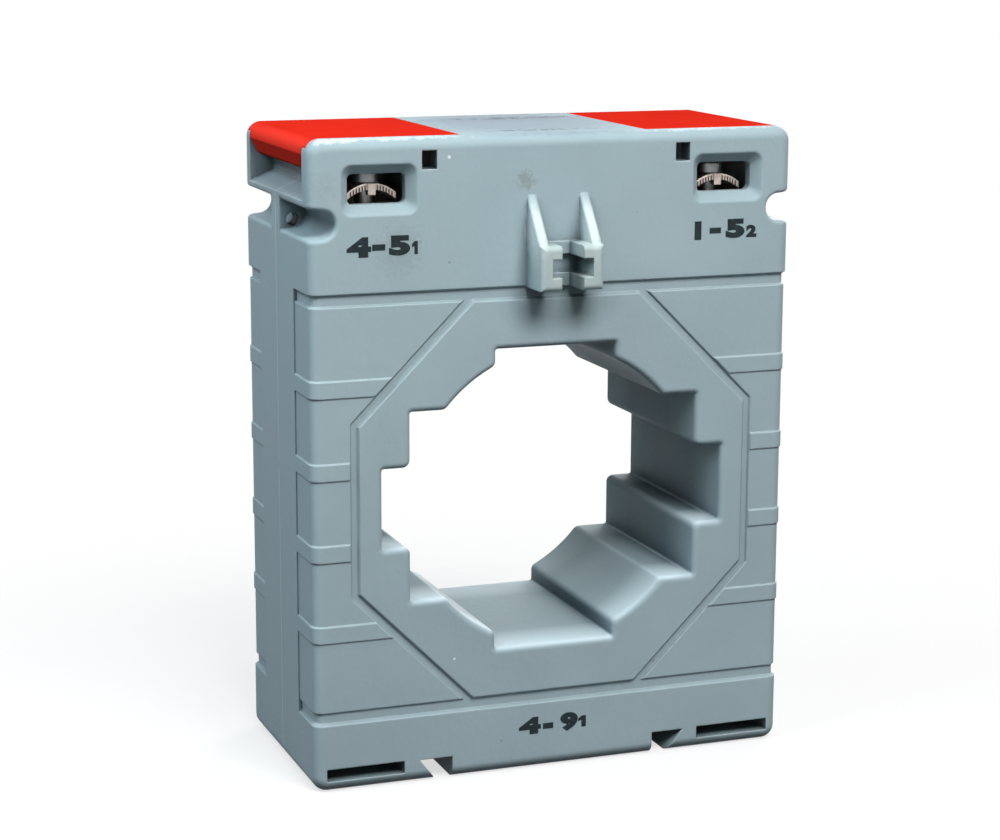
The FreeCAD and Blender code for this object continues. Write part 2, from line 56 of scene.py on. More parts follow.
camera_data = bpy.data.cameras.new("camera")
camera_data.sensor_width = 36
camera_data.lens = LENS_MM
camera_data.clip_start = 0.02
camera_data.clip_end = 20
camera = bpy.data.objects.new("camera", camera_data)
bpy.context.scene.collection.objects.link(camera)
aim = Vector((math.sin(CAMERA_YAW) * math.cos(CAMERA_PITCH),
              math.cos(CAMERA_YAW) * math.cos(CAMERA_PITCH),
              -math.sin(CAMERA_PITCH)))
camera.rotation_mode = "QUATERNION"
level = aim.to_track_quat("-Z", "Y").to_matrix()
camera.rotation_quaternion = (level @ Matrix.Rotation(CAMERA_ROLL, 3, "Z")).to_quaternion()
camera.location = CAMERA_PLACE
bpy.context.scene.camera = camera
bpy.context.scene.view_settings.view_transform = "Standard"
print("camera looks along", [round(v, 3) for v in aim])

# %% [markdown]
# Material trees are long when they are written by hand, and most lines say the same
# thing. These small helpers add a node with its settings, put values on its sockets and
# start a node group, so that the cells below read like a list of what the surface has.

# %% Helpers for node trees
def add_node(tree, kind, values=None, **settings):
    node = tree.nodes.new("ShaderNode" + kind)
    for key, value in settings.items():
        setattr(node, key, value)
    for socket, value in (values or {}).items():
        node.inputs[socket].default_value = value
    return node


def link(tree, source, target):
    tree.links.new(source, target)


def start_group(name, inputs, outputs):
    """An empty node group with named sockets. Inputs are (name, kind, value)."""
    tree = bpy.data.node_groups.new(name, "ShaderNodeTree")
    for label, kind, value in inputs:
        socket = tree.interface.new_socket(label, in_out="INPUT", socket_type="NodeSocket" + kind)
        socket.default_value = value
    for label, kind in outputs:
        tree.interface.new_socket(label, in_out="OUTPUT", socket_type="NodeSocket" + kind)
    return tree, tree.nodes.new("NodeGroupInput"), tree.nodes.new("NodeGroupOutput")


def place_group(tree, group, **values):
    node = tree.nodes.new("ShaderNodeGroup")
    node.node_tree = group
    for socket, value in values.items():
        node.inputs[socket.replace("_", " ")].default_value = value
    return node


def remap(tree, source, low, high, to_low, to_high):
    """Stretches a value from one range to another, and holds it at the ends."""
    node = add_node(tree, "MapRange", {1: low, 2: high, 3: to_low, 4: to_high}, clamp=True)
    link(tree, source, node.inputs[0])
    return node.outputs[0]


def blend(tree, mask, first, second):
    """Mixes two colours. Either may be a plain colour or a socket."""
    node = add_node(tree, "Mix", data_type="RGBA", blend_type="MIX")
    for index, source in ((0, mask), (6, first), (7, second)):
        if isinstance(source, (tuple, float)):
            node.inputs[index].default_value = source
        else:
            link(tree, source, node.inputs[index])
    return node.outputs[2]


def calculate(tree, operation, first, second):
    node = add_node(tree, "Math", operation=operation)
    for index, source in ((0, first), (1, second)):
        if isinstance(source, (int, float)):
            node.inputs[index].default_value = source
        else:
            link(tree, source, node.inputs[index])
    return node.outputs[0]


def lay_on(tree, tone, mask, strength, colour):
    """Lays a colour over the tone where the mask is. The strength is a number or a mask."""
    return blend(tree, calculate(tree, "MULTIPLY", mask, strength), tone, colour)


def rgb(red, green, blue):
    """A colour as a picture shows it, from 0 to 255, turned into the linear one."""
    def linear(value):
        share = value / 255
        return share / 12.92 if share <= 0.04045 else ((share + 0.055) / 1.055) ** 2.4
    return (linear(red), linear(green), linear(blue), 1.0)


print("grey of the case, linear", [round(v, 3) for v in rgb(151, 170, 176)[:3]])

# %% [markdown]
# Moulded plastic is never one flat tone. The melt leaves wide soft clouds, the steel of
# the mould leaves a fine grain and a soft ripple like orange peel, and dust leaves single
# specks. One group makes them all from Object coordinates, and each plastic takes them at
# its own scale.

# %% Effect: moulded skin
moulded_skin, group_in, group_out = start_group(
    "moulded skin",
    [("Cloud scale", "Float", 45.0), ("Grain scale", "Float", 1500.0),
     ("Speck scale", "Float", 240.0)],
    [("Clouds", "Float"), ("Grain", "Float"), ("Relief", "Float"), ("Specks", "Float")])
place = add_node(moulded_skin, "TexCoord").outputs["Object"]
clouds = add_node(moulded_skin, "TexNoise", {"Detail": 3.0, "Roughness": 0.6, "Distortion": 0.4})
grain = add_node(moulded_skin, "TexNoise", {"Detail": 2.0, "Roughness": 0.55})
specks = add_node(moulded_skin, "TexVoronoi", {"Randomness": 1.0})
for texture, scale in ((clouds, "Cloud scale"), (grain, "Grain scale"), (specks, "Speck scale")):
    link(moulded_skin, place, texture.inputs["Vector"])
    link(moulded_skin, group_in.outputs[scale], texture.inputs["Scale"])
wide = remap(moulded_skin, clouds.outputs["Fac"], 0.3, 0.7, 0.0, 1.0)
link(moulded_skin, wide, group_out.inputs["Clouds"])
link(moulded_skin, grain.outputs["Fac"], group_out.inputs["Grain"])
peel = add_node(moulded_skin, "TexNoise", {"Detail": 1.0, "Roughness": 0.4})
link(moulded_skin, place, peel.inputs["Vector"])
peel_scale = calculate(moulded_skin, "MULTIPLY", group_in.outputs["Grain scale"], 0.5)
link(moulded_skin, peel_scale, peel.inputs["Scale"])
fine = calculate(moulded_skin, "MULTIPLY", grain.outputs["Fac"], 0.3)
relief = calculate(moulded_skin, "ADD", fine, peel.outputs["Fac"])
link(moulded_skin, relief, group_out.inputs["Relief"])
near = remap(moulded_skin, specks.outputs["Distance"], 0.03, 0.07, 1.0, 0.0)
few = add_node(moulded_skin, "SeparateColor")
link(moulded_skin, specks.outputs["Color"], few.inputs[0])
chosen = remap(moulded_skin, few.outputs[0], 0.90, 0.92, 0.0, 1.0)
link(moulded_skin, calculate(moulded_skin, "MULTIPLY", near, chosen), group_out.inputs["Specks"])
print("group", moulded_skin.name, "with", len(moulded_skin.nodes), "nodes")

# %% [markdown]
# The sharp edges of a CAD solid look cut with a knife. Real edges have a small radius
# that catches the light, and hands rub them paler. A Bevel node rounds the normal near
# an edge without new faces, and where the rounded normal leaves the true one, there is
# an edge. So one group gives both the soft normal and a mask for the rub, which on the
# case also carries a painted edge highlight. An amount of nought leaves an edge as it is,
# for a joint that isn't seen.

# %% Effect: soft edge
soft_edge, group_in, group_out = start_group(
    "soft edge", [("Radius", "Float", 0.0003), ("Amount", "Float", 1.0)],
    [("Normal", "Vector"), ("Edge", "Float")])
rounded = add_node(soft_edge, "Bevel", samples=6)
link(soft_edge, group_in.outputs["Radius"], rounded.inputs["Radius"])
true_normal = add_node(soft_edge, "NewGeometry").outputs["Normal"]
softened = add_node(soft_edge, "Mix", data_type="VECTOR")
link(soft_edge, group_in.outputs["Amount"], softened.inputs["Factor"])
link(soft_edge, true_normal, softened.inputs[4])
link(soft_edge, rounded.outputs["Normal"], softened.inputs[5])
alike = add_node(soft_edge, "VectorMath", operation="DOT_PRODUCT")
link(soft_edge, softened.outputs[1], alike.inputs[0])
link(soft_edge, true_normal, alike.inputs[1])
link(soft_edge, softened.outputs[1], group_out.inputs["Normal"])
rub_and_highlight_edge = remap(soft_edge, alike.outputs["Value"], 0.75, 0.99, 1.0, 0.0)
link(soft_edge, rub_and_highlight_edge, group_out.inputs["Edge"])
print("group", soft_edge.name, "with", len(soft_edge.nodes), "nodes")

# %% [markdown]
# A few marks of use sit at one place only: a stain over the screw holder, a haze round a
# print, a white scratch on an edge. The same spots also lay painted shade and painted
# highlights at single places. A ragged spot is a ball of distance round a centre,
# stretched to a size and broken up by noise.

# %% Effect: ragged spot
ragged_spot, group_in, group_out = start_group(
    "ragged spot",
    [("Centre", "Vector", (0.0, 0.0, 0.0)), ("Size", "Vector", (0.001, 0.001, 0.001)),
     ("Rag scale", "Float", 900.0), ("Rag", "Float", 1.0)],
    [("Mask", "Float")])
place = add_node(ragged_spot, "TexCoord").outputs["Object"]
away = add_node(ragged_spot, "VectorMath", operation="SUBTRACT")
link(ragged_spot, place, away.inputs[0])
link(ragged_spot, group_in.outputs["Centre"], away.inputs[1])
scaled = add_node(ragged_spot, "VectorMath", operation="DIVIDE")
link(ragged_spot, away.outputs[0], scaled.inputs[0])
link(ragged_spot, group_in.outputs["Size"], scaled.inputs[1])
reach = add_node(ragged_spot, "VectorMath", operation="LENGTH")
link(ragged_spot, scaled.outputs[0], reach.inputs[0])
rag = add_node(ragged_spot, "TexNoise", {"Detail": 4.0, "Roughness": 0.7})
link(ragged_spot, place, rag.inputs["Vector"])
link(ragged_spot, group_in.outputs["Rag scale"], rag.inputs["Scale"])
shift = calculate(ragged_spot, "SUBTRACT", rag.outputs["Fac"], 0.5)
shift = calculate(ragged_spot, "MULTIPLY", shift, group_in.outputs["Rag"])
shift = calculate(ragged_spot, "MULTIPLY", shift, 3.0)
edge = calculate(ragged_spot, "ADD", reach.outputs["Value"], shift)
link(ragged_spot, remap(ragged_spot, edge, 0.5, 1.1, 1.0, 0.0), group_out.inputs["Mask"])
print("group", ragged_spot.name, "with", len(ragged_spot.nodes), "nodes")

# %% [markdown]
# Every material starts the same way: a Principled BSDF, a bump over the soft edge, and
# an output. This helper makes that core and hands back what the finish is joined to.

# %% Helper: start a material
def start_material(name, edge_radius, bump_height, **shader_values):
    """Returns the material, its tree, its shader, its bump node and its edge mask."""
    material = bpy.data.materials.new(name)
    material.use_nodes = True
    tree = material.node_tree
    tree.nodes.clear()
    shader = add_node(tree, "BsdfPrincipled")
    for socket, value in shader_values.items():
        shader.inputs[socket.replace("_", " ")].default_value = value
    output = add_node(tree, "OutputMaterial")
    link(tree, shader.outputs[0], output.inputs[0])
    edge = place_group(tree, soft_edge, Radius=edge_radius)
    bump = add_node(tree, "Bump", {"Strength": 1.0, "Distance": bump_height})
    link(tree, edge.outputs["Normal"], bump.inputs["Normal"])
    link(tree, bump.outputs[0], shader.inputs["Normal"])
    return material, tree, shader, bump, edge.outputs["Edge"]


# %% [markdown]
# The case is a cool grey engineering plastic with a dull satin skin. The tone drifts by a
# few per cent in wide clouds. Edges are paler, partly from rubbing and partly as a painted
# highlight, and where they face upwards the extra paleness is a painted highlight. Grooves
# and corners are darker with painted shade.

# %% Material: grey case
RING_CENTRE = (0.0, 0.0, 0.0481)
case_plastic, tree, shader, bump, edge = start_material(
    "case_plastic", 0.00035, 0.00005, IOR=1.48, Specular_IOR_Level=0.15)
skin = place_group(tree, moulded_skin, Cloud_scale=38.0, Grain_scale=1300.0, Speck_scale=210.0)
tone = blend(tree, skin.outputs["Clouds"], rgb(151, 170, 176), rgb(158, 178, 183))
# pale edges: part rubbing, part painted highlight
tone = lay_on(tree, tone, edge, 0.35, rgb(190, 208, 214))
facing = add_node(tree, "SeparateXYZ")
link(tree, edge.node.outputs["Normal"], facing.inputs[0])
# painted highlight on edges that face upwards
upward = remap(tree, facing.outputs["Z"], 0.12, 0.5, 0.0, 0.85)
tone = lay_on(tree, tone, edge, upward, rgb(220, 235, 240))
# painted shade in grooves and corners
shelter = add_node(tree, "AmbientOcclusion", {"Distance": 0.004}, samples=6)
painted_groove_shade = remap(tree, shelter.outputs["AO"], 0.25, 0.82, 0.85, 0.0)
tone = blend(tree, painted_groove_shade, tone, rgb(46, 57, 61))
print("grey, edges and grime on", case_plastic.name)

# %% [markdown]
# The two halves meet at mid-depth. Outside, the seam is a thin ridge of pale flash that
# comes and goes. Inside the window it can't be seen in the photograph, so there the soft
# edge is turned off and the flash is left out.

# %% Seam of the case
place = add_node(tree, "TexCoord").outputs["Object"]
parts = add_node(tree, "SeparateXYZ")
link(tree, place, parts.inputs[0])
off_seam = calculate(tree, "ABSOLUTE", parts.outputs["Y"], 0)
from_window = add_node(tree, "VectorMath", {1: RING_CENTRE}, operation="DISTANCE")
link(tree, place, from_window.inputs[0])
outside = remap(tree, from_window.outputs["Value"], 0.034, 0.038, 0.0, 1.0)
near_seam = remap(tree, off_seam, 0.0006, 0.0008, 1.0, 0.0)
inside = calculate(tree, "SUBTRACT", 1.0, outside)
plain = calculate(tree, "MULTIPLY", near_seam, inside)
link(tree, calculate(tree, "SUBTRACT", 1.0, plain), edge.node.inputs["Amount"])
flash = remap(tree, off_seam, 0.0001, 0.00034, 1.0, 0.0)
flash = calculate(tree, "MULTIPLY", flash, outside)
flash = calculate(tree, "MULTIPLY", flash, remap(tree, skin.outputs["Clouds"], 0.2, 0.8, 0.2, 0.8))
tone = blend(tree, flash, tone, rgb(206, 216, 216))
print("seam on", case_plastic.name)

# %% [markdown]
# In the photograph the window's walls grow darker inwards, most where they face down, and
# the upper sides of the rim are pale. Part of that is light and shade and part may be
# dirt, and one picture can't tell them apart. The terms below were set by comparing
# renders with the photograph, so they paint some of its shade into the colour, and the
# pale upper rim is a painted highlight. Under another light that shade and highlight stay.

# %% Tones inside the window
# painted shade deep in the window
deep = add_node(tree, "AmbientOcclusion", {"Distance": 0.04}, samples=6)
dusk = calculate(tree, "MULTIPLY", inside, remap(tree, deep.outputs["AO"], 0.3, 0.72, 0.75, 0.0))
tone = blend(tree, dusk, tone, rgb(44, 60, 70))
# painted shade, darker inwards
inward = remap(tree, off_seam, 0.008, 0.0185, 0.55, 0.0)
inward = calculate(tree, "MULTIPLY", inward, remap(tree, facing.outputs["Z"], 0.2, 0.9, 1.0, 0.3))
tone = lay_on(tree, tone, inside, inward, rgb(52, 72, 84))
# painted shade on faces that look down
under = remap(tree, facing.outputs["Z"], -0.8, -0.2, 0.55, 0.0)
tone = lay_on(tree, tone, inside, under, rgb(54, 70, 76))
# painted highlight on the upper sides of the rim
rim_highlight = remap(tree, off_seam, 0.0105, 0.0195, 0.0, 0.8)
rim_highlight = calculate(tree, "MULTIPLY", rim_highlight, remap(tree, facing.outputs["Z"], 0.4, 0.9, 0.0, 1.0))
tone = lay_on(tree, tone, inside, rim_highlight, rgb(212, 230, 236))
print("tones inside the window on", case_plastic.name)

# %% [markdown]
# Some marks here are wear that the photograph shows: a brownish spot and a line, a haze,
# a white scuff at the left end of the top front edge and white specks. A dark line runs
# along the back edge of the top. The other entries are painted light. The pale gussets,
# the pale holder front and two thin white lines along the top front edge are painted
# highlight. Two soft dark streaks under the screw holder, the nut slot, the recess under
# the left cover and the grey of the top plate are painted shade that matches the
# photograph's shade.

# %% Single marks, and painted shade and highlights matched to the photograph
MARKS_AND_PAINTED_LIGHT = [
    # centre and size in mm, how ragged, colour, strength
    ((-5.8, -20.0, 102.0), (1.7, 1.5, 1.7), 1.0, rgb(120, 126, 112), 0.45),
    ((-27.5, -20.0, 91.4), (4.0, 1.5, 4.5), 1.0, rgb(130, 143, 146), 0.3),
    # painted shadow: soft dark streaks under the screw holder
    ((0.5, -20.0, 81.5), (11.0, 1.5, 5.5), 0.1, rgb(84, 96, 100), 0.4),
    # painted highlight: pale gussets and the pale front of the screw holder
    ((-5.1, -24.0, 95.0), (1.6, 4.5, 7.0), 0.15, rgb(232, 242, 240), 0.5),
    ((4.3, -24.0, 95.0), (1.6, 4.5, 7.0), 0.15, rgb(232, 242, 240), 0.5),
    ((-0.4, -26.0, 89.0), (8.0, 5.0, 9.0), 0.15, rgb(200, 210, 198), 0.35),
    # painted shade: the nut slot
    ((0.0, -23.8, 88.0), (4.4, 2.9, 2.2), 0.1, rgb(44, 56, 60), 0.6),
    # painted shade: the recess under the left cover
    ((-40.5, 0.0, 102.0), (5.5, 21.0, 5.4), 0.4, rgb(118, 114, 114), 0.4),
    ((-39.8, -19.3, 109.4), (4.0, 0.9, 0.7), 1.0, rgb(232, 239, 242), 0.6),
    # painted highlight: thin white lines along the top front edge
    ((-29.0, -19.0, 109.6), (14.0, 0.8, 0.5), 1.0, rgb(228, 236, 239), 0.5),
    ((28.0, -18.8, 109.6), (15.0, 0.7, 0.4), 1.0, rgb(228, 236, 239), 0.4),
    ((-15.0, -3.5, 109.6), (0.7, 12.0, 0.5), 0.6, rgb(170, 160, 136), 0.6),
    # painted shade: the grey of the top plate
    ((1.0, 0.0, 109.6), (22.0, 24.0, 0.9), 0.3, rgb(124, 138, 150), 0.75),
    ((1.0, 9.0, 109.6), (17.0, 8.0, 0.8), 0.7, rgb(120, 132, 144), 0.5),
    ((3.0, 17.6, 109.6), (20.0, 0.8, 0.8), 0.5, rgb(86, 94, 100), 0.6),
    ((-19.1, -20.0, 106.2), (0.35, 0.5, 0.35), 1.0, rgb(236, 240, 242), 0.8),
    ((-18.2, -20.0, 21.2), (0.3, 0.5, 0.3), 1.0, rgb(240, 244, 246), 0.9),
]
for centre, size, rag, colour, strength in MARKS_AND_PAINTED_LIGHT:
    spot = place_group(tree, ragged_spot, Centre=Vector(centre) * MM, Size=Vector(size) * MM,
                       Rag=rag)
    tone = lay_on(tree, tone, spot.outputs["Mask"], strength, colour)

tone = lay_on(tree, tone, skin.outputs["Specks"], 0.5, rgb(100, 112, 114))
print(len(MARKS_AND_PAINTED_LIGHT), "single marks on", case_plastic.name)

# %% [markdown]
# Two rows of something unreadable run across the top plate. They are dashes here, from
# noise that is narrow along X, inside two long ragged spots.

# %% Scored rows and skin
SCORED_ROWS = [((3.0, 10.2, 109.6), (15.0, 2.2, 0.5)), ((0.0, -13.4, 109.6), (11.0, 1.6, 0.5))]
narrow = add_node(tree, "Mapping", {"Scale": (900, 260, 900)})
link(tree, place, narrow.inputs[0])
scores = add_node(tree, "TexNoise", {"Scale": 1.0, "Detail": 2.0, "Roughness": 0.5})
link(tree, narrow.outputs[0], scores.inputs["Vector"])
scored = remap(tree, scores.outputs["Fac"], 0.46, 0.53, 0.0, 0.9)
for centre, size in SCORED_ROWS:
    row = place_group(tree, ragged_spot, Centre=Vector(centre) * MM, Size=Vector(size) * MM,
                      Rag=0.4)
    tone = lay_on(tree, tone, row.outputs["Mask"], scored, rgb(84, 94, 102))
link(tree, tone, shader.inputs["Base Color"])
rough = remap(tree, skin.outputs["Clouds"], 0.0, 1.0, 0.5, 0.6)
link(tree, rough, shader.inputs["Roughness"])
link(tree, skin.outputs["Relief"], bump.inputs["Height"])
print(len(SCORED_ROWS), "scored rows on", case_plastic.name)

# %% [markdown]
# The covers are a bright signal red. In the photograph they are one flat red without a
# sheen, so the shader has no mirror part at all, though real plastic has some. The end
# walls are given a lighter red than the lid for the same reason, as painted light on the
# faces that turn sideways. The moulded skin is the case's at a finer scale, and rubbed
# edges go a little orange.

# %% Material: red covers
cover_plastic, tree, shader, bump, edge = start_material(
    "cover_plastic", 0.00035, 0.000025, Specular_IOR_Level=0.0)
skin = place_group(tree, moulded_skin, Cloud_scale=60.0, Grain_scale=2100.0, Speck_scale=260.0)
tone = blend(tree, skin.outputs["Clouds"], rgb(203, 38, 25), rgb(210, 43, 28))
facing = add_node(tree, "SeparateXYZ")
link(tree, edge.node.outputs["Normal"], facing.inputs[0])
# painted light: faces that turn sideways get a lighter red
side_face_light = calculate(tree, "ABSOLUTE", facing.outputs["X"], 0)
tone = blend(tree, remap(tree, side_face_light, 0.2, 0.8, 0.0, 1.0), tone, rgb(244, 62, 48))
tone = lay_on(tree, tone, edge, 0.35, rgb(240, 80, 54))
tone = lay_on(tree, tone, skin.outputs["Specks"], 0.4, rgb(170, 30, 22))
link(tree, tone, shader.inputs["Base Color"])
link(tree, remap(tree, skin.outputs["Clouds"], 0.0, 1.0, 0.54, 0.64), shader.inputs["Roughness"])
link(tree, skin.outputs["Relief"], bump.inputs["Height"])
print("cover_plastic done")

# %% [markdown]
# The saddles and screws are plated steel with a warm tint, seen through the funnels. The
# plating is cloudy, and the stamping and turning leave fine scratches. The saddle is
# drawn along Y, so its scratches are noise that is stretched along Y.

# %% Materials: clamp metals
def plated_metal(name, bright, dull, stretch, roughness_low, roughness_high):
    material, tree, shader, bump, edge = start_material(name, 0.00015, 0.000015, Metallic=1.0)
    skin = place_group(tree, moulded_skin, Cloud_scale=420.0, Grain_scale=3000.0, Speck_scale=600.0)
    mapping = add_node(tree, "Mapping", {"Scale": stretch})
    link(tree, add_node(tree, "TexCoord").outputs["Object"], mapping.inputs[0])
    scratches = add_node(tree, "TexNoise", {"Scale": 1.0, "Detail": 3.0, "Roughness": 0.6})
    link(tree, mapping.outputs[0], scratches.inputs["Vector"])
    tone = blend(tree, skin.outputs["Clouds"], bright, dull)
    tone = lay_on(tree, tone, edge, 0.5, rgb(245, 240, 236))
    link(tree, tone, shader.inputs["Base Color"])
    link(tree, remap(tree, scratches.outputs["Fac"], 0.3, 0.7, roughness_low, roughness_high),
         shader.inputs["Roughness"])
    link(tree, scratches.outputs["Fac"], bump.inputs["Height"])
    return material


saddle_metal = plated_metal("saddle_metal", rgb(206, 194, 187), rgb(160, 148, 141),
                            (3200, 260, 3200), 0.3, 0.5)
screw_metal = plated_metal("screw_metal", rgb(140, 142, 143), rgb(98, 100, 102),
                           (900, 900, 4200), 0.28, 0.42)
plate_metal = plated_metal("plate_metal", rgb(170, 156, 122), rgb(138, 122, 92),
                           (2600, 260, 2600), 0.32, 0.5)
print("three plated metals")

# %% [markdown]
# The ring inside the case isn't seen in the photograph, but the model is also used
# opened up. The core is steel strip wound in a spiral, so its sides show fine rings. The
# copper wire runs round the ring's section, so its turns lie along the radius. Both are
# patterns in the angle and the distance from the ring's axis, which runs along Y.

# %% Effect: ring coordinates
ring_place, group_in, group_out = start_group(
    "ring place", [("Centre", "Vector", RING_CENTRE)], [("Radius", "Float"), ("Angle", "Float")])
away = add_node(ring_place, "VectorMath", operation="SUBTRACT")
link(ring_place, add_node(ring_place, "TexCoord").outputs["Object"], away.inputs[0])
link(ring_place, group_in.outputs["Centre"], away.inputs[1])
parts = add_node(ring_place, "SeparateXYZ")
link(ring_place, away.outputs[0], parts.inputs[0])
across = calculate(ring_place, "POWER", parts.outputs["X"], 2)
upward = calculate(ring_place, "POWER", parts.outputs["Z"], 2)
radius = calculate(ring_place, "SQRT", calculate(ring_place, "ADD", across, upward), 0)
link(ring_place, radius, group_out.inputs["Radius"])
angle = calculate(ring_place, "ARCTAN2", parts.outputs["X"], parts.outputs["Z"])
link(ring_place, angle, group_out.inputs["Angle"])
print("group", ring_place.name)

# %% [markdown]
# Steel strip, copper wire and wrapped film differ in which ring coordinate their stripes
# cross and how far apart they are. The caps and the leads are plain dark plastics.

# %% Materials: ring parts
STRIP_PITCH = 0.3 * MM
WIRE_PITCH = math.radians(1.4)
FILM_PITCH = math.radians(15)


def striped(name, coordinate, pitch, dark, light, bump_height, **shader_values):
    """Stripes across one ring coordinate, for strip, wire and wrapped film."""
    material, tree, shader, bump, edge = start_material(name, 0.00015, bump_height, **shader_values)
    ring = place_group(tree, ring_place)
    turns = calculate(tree, "MULTIPLY", ring.outputs[coordinate], 2 * math.pi / pitch)
    wave = calculate(tree, "SINE", turns, 0)
    wave = remap(tree, wave, -1.0, 1.0, 0.0, 1.0)
    skin = place_group(tree, moulded_skin, Cloud_scale=150.0, Grain_scale=2500.0, Speck_scale=300.0)
    tone = blend(tree, wave, dark, light)
    tone = lay_on(tree, tone, skin.outputs["Clouds"], 0.35, dark)
    tone = lay_on(tree, tone, edge, 0.3, light)
    link(tree, tone, shader.inputs["Base Color"])
    link(tree, remap(tree, skin.outputs["Grain"], 0.3, 0.7, 0.3, 0.5), shader.inputs["Roughness"])
    link(tree, wave, bump.inputs["Height"])
    return material


core_steel = striped("core_steel", "Radius", STRIP_PITCH, rgb(92, 96, 101),
                     rgb(168, 172, 177), 0.00002, Metallic=1.0)
copper_wire = striped("copper_wire", "Angle", WIRE_PITCH, rgb(120, 56, 26),
                      rgb(214, 118, 66), 0.00012, Coat_Weight=0.6, Metallic=0.7)
yellow_film = striped("yellow_film", "Angle", FILM_PITCH, rgb(196, 158, 60),
                      rgb(232, 200, 96), 0.00004, Coat_Weight=0.3)


def plain_plastic(name, dark, light, roughness):
    material, tree, shader, bump, edge = start_material(name, 0.0003, 0.00002, IOR=1.5)
    skin = place_group(tree, moulded_skin, Cloud_scale=90.0, Grain_scale=1900.0, Speck_scale=260.0)
    tone = blend(tree, skin.outputs["Clouds"], dark, light)
    tone = lay_on(tree, tone, edge, 0.3, rgb(120, 120, 122))
    link(tree, tone, shader.inputs["Base Color"])
    link(tree, remap(tree, skin.outputs["Clouds"], 0.0, 1.0, roughness, roughness + 0.12),
         shader.inputs["Roughness"])
    link(tree, skin.outputs["Grain"], bump.inputs["Height"])
    return material


cap_plastic = plain_plastic("cap_plastic", rgb(40, 41, 43), rgb(52, 53, 55), 0.5)
lead_sleeve = plain_plastic("lead_sleeve", rgb(26, 26, 28), rgb(38, 38, 40), 0.42)
print("ring materials done")

# %% [markdown]
# Each CAD node keeps its shape and gets its finish here. The first part of a node's name
# says which finish it takes, so left, right, front and rear pieces share one line.

# %% Finish the CAD nodes
FINISHES = {
    "front_shell": case_plastic, "rear_shell": case_plastic,
    "terminal_cover": cover_plastic, "clamp_saddle": saddle_metal, "clamp_screw": screw_metal,
    "terminal_plate": plate_metal, "ring_core": core_steel, "core_cap": cap_plastic,
    "secondary_winding": copper_wire, "winding_sleeve": yellow_film, "lead": lead_sleeve,
}
for name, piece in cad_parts.items():
    finish = next(FINISHES[start] for start in FINISHES if name.startswith(start))
    piece.data.materials.clear()
    piece.data.materials.append(finish)
    print(name, "->", finish.name)

# %% [markdown]
# The marks are pad-printed in a heavy black ink. A pad print has a slightly soft outline
# and small pale gaps where the grain of the plastic took no ink. The marks here are plain
# numbers: a number for the connection, a dash, and a number with a small index.

# %% Material: black ink
black_ink, tree, shader, bump, edge = start_material(
    "black_ink", 0.00005, 0.00001, Specular_IOR_Level=0.15)
skin = place_group(tree, moulded_skin, Cloud_scale=500.0, Grain_scale=2400.0, Speck_scale=900.0)
tone = blend(tree, skin.outputs["Clouds"], rgb(26, 36, 40), rgb(38, 50, 54))
thin = remap(tree, skin.outputs["Grain"], 0.66, 0.74, 0.0, 0.5)
tone = blend(tree, thin, tone, rgb(112, 126, 130))
link(tree, tone, shader.inputs["Base Color"])
link(tree, remap(tree, skin.outputs["Clouds"], 0.0, 1.0, 0.45, 0.6), shader.inputs["Roughness"])
link(tree, skin.outputs["Grain"], bump.inputs["Height"])
print("ink", black_ink.name)

# %% [markdown]
# A mark is built flat from its glyphs, given the thickness of the ink, and stood on the
# front face, or turned half round onto the rear one. Each glyph is stretched to its
# measured box. Two shapes, the bar and the small one, are drawn as listed outlines.

# %% Helper: printed mark
INK_THICKNESS = 0.03 * MM
FRONT_FACE = -20 * MM
WEIGHT = 0.07
DRAWN = {
    "bar": [(0, 0), (1, 0), (1, 1), (0, 1)],
    "small one": [(0.42, 0), (1, 0), (1, 1), (0.45, 1), (0, 0.74), (0, 0.52), (0.42, 0.62)],
}


def glyph_mesh(shape, width, height):
    """One glyph as a flat mesh of exactly this size, its lower left corner at the origin."""
    if shape in DRAWN:
        outline = bmesh.new()
        outline.faces.new([outline.verts.new((x, y, 0)) for x, y in DRAWN[shape]])
        mesh = bpy.data.meshes.new("glyph")
        outline.to_mesh(mesh)
        outline.free()
    else:
        curve = bpy.data.curves.new("glyph", "FONT")
        curve.body = shape
        curve.size = 1.0
        curve.offset = WEIGHT
        curve.resolution_u = 6
        carrier = bpy.data.objects.new("glyph", curve)
        bpy.context.scene.collection.objects.link(carrier)
        bpy.context.view_layer.update()
        shown = carrier.evaluated_get(bpy.context.evaluated_depsgraph_get())
        mesh = bpy.data.meshes.new_from_object(shown)
        bpy.data.objects.remove(carrier)
    xs = [v.co.x for v in mesh.vertices]
    ys = [v.co.y for v in mesh.vertices]
    stretch = Matrix.Diagonal((width / (max(xs) - min(xs)), height / (max(ys) - min(ys)), 1, 1))
    mesh.transform(stretch @ Matrix.Translation((-min(xs), -min(ys), 0)))
    return mesh


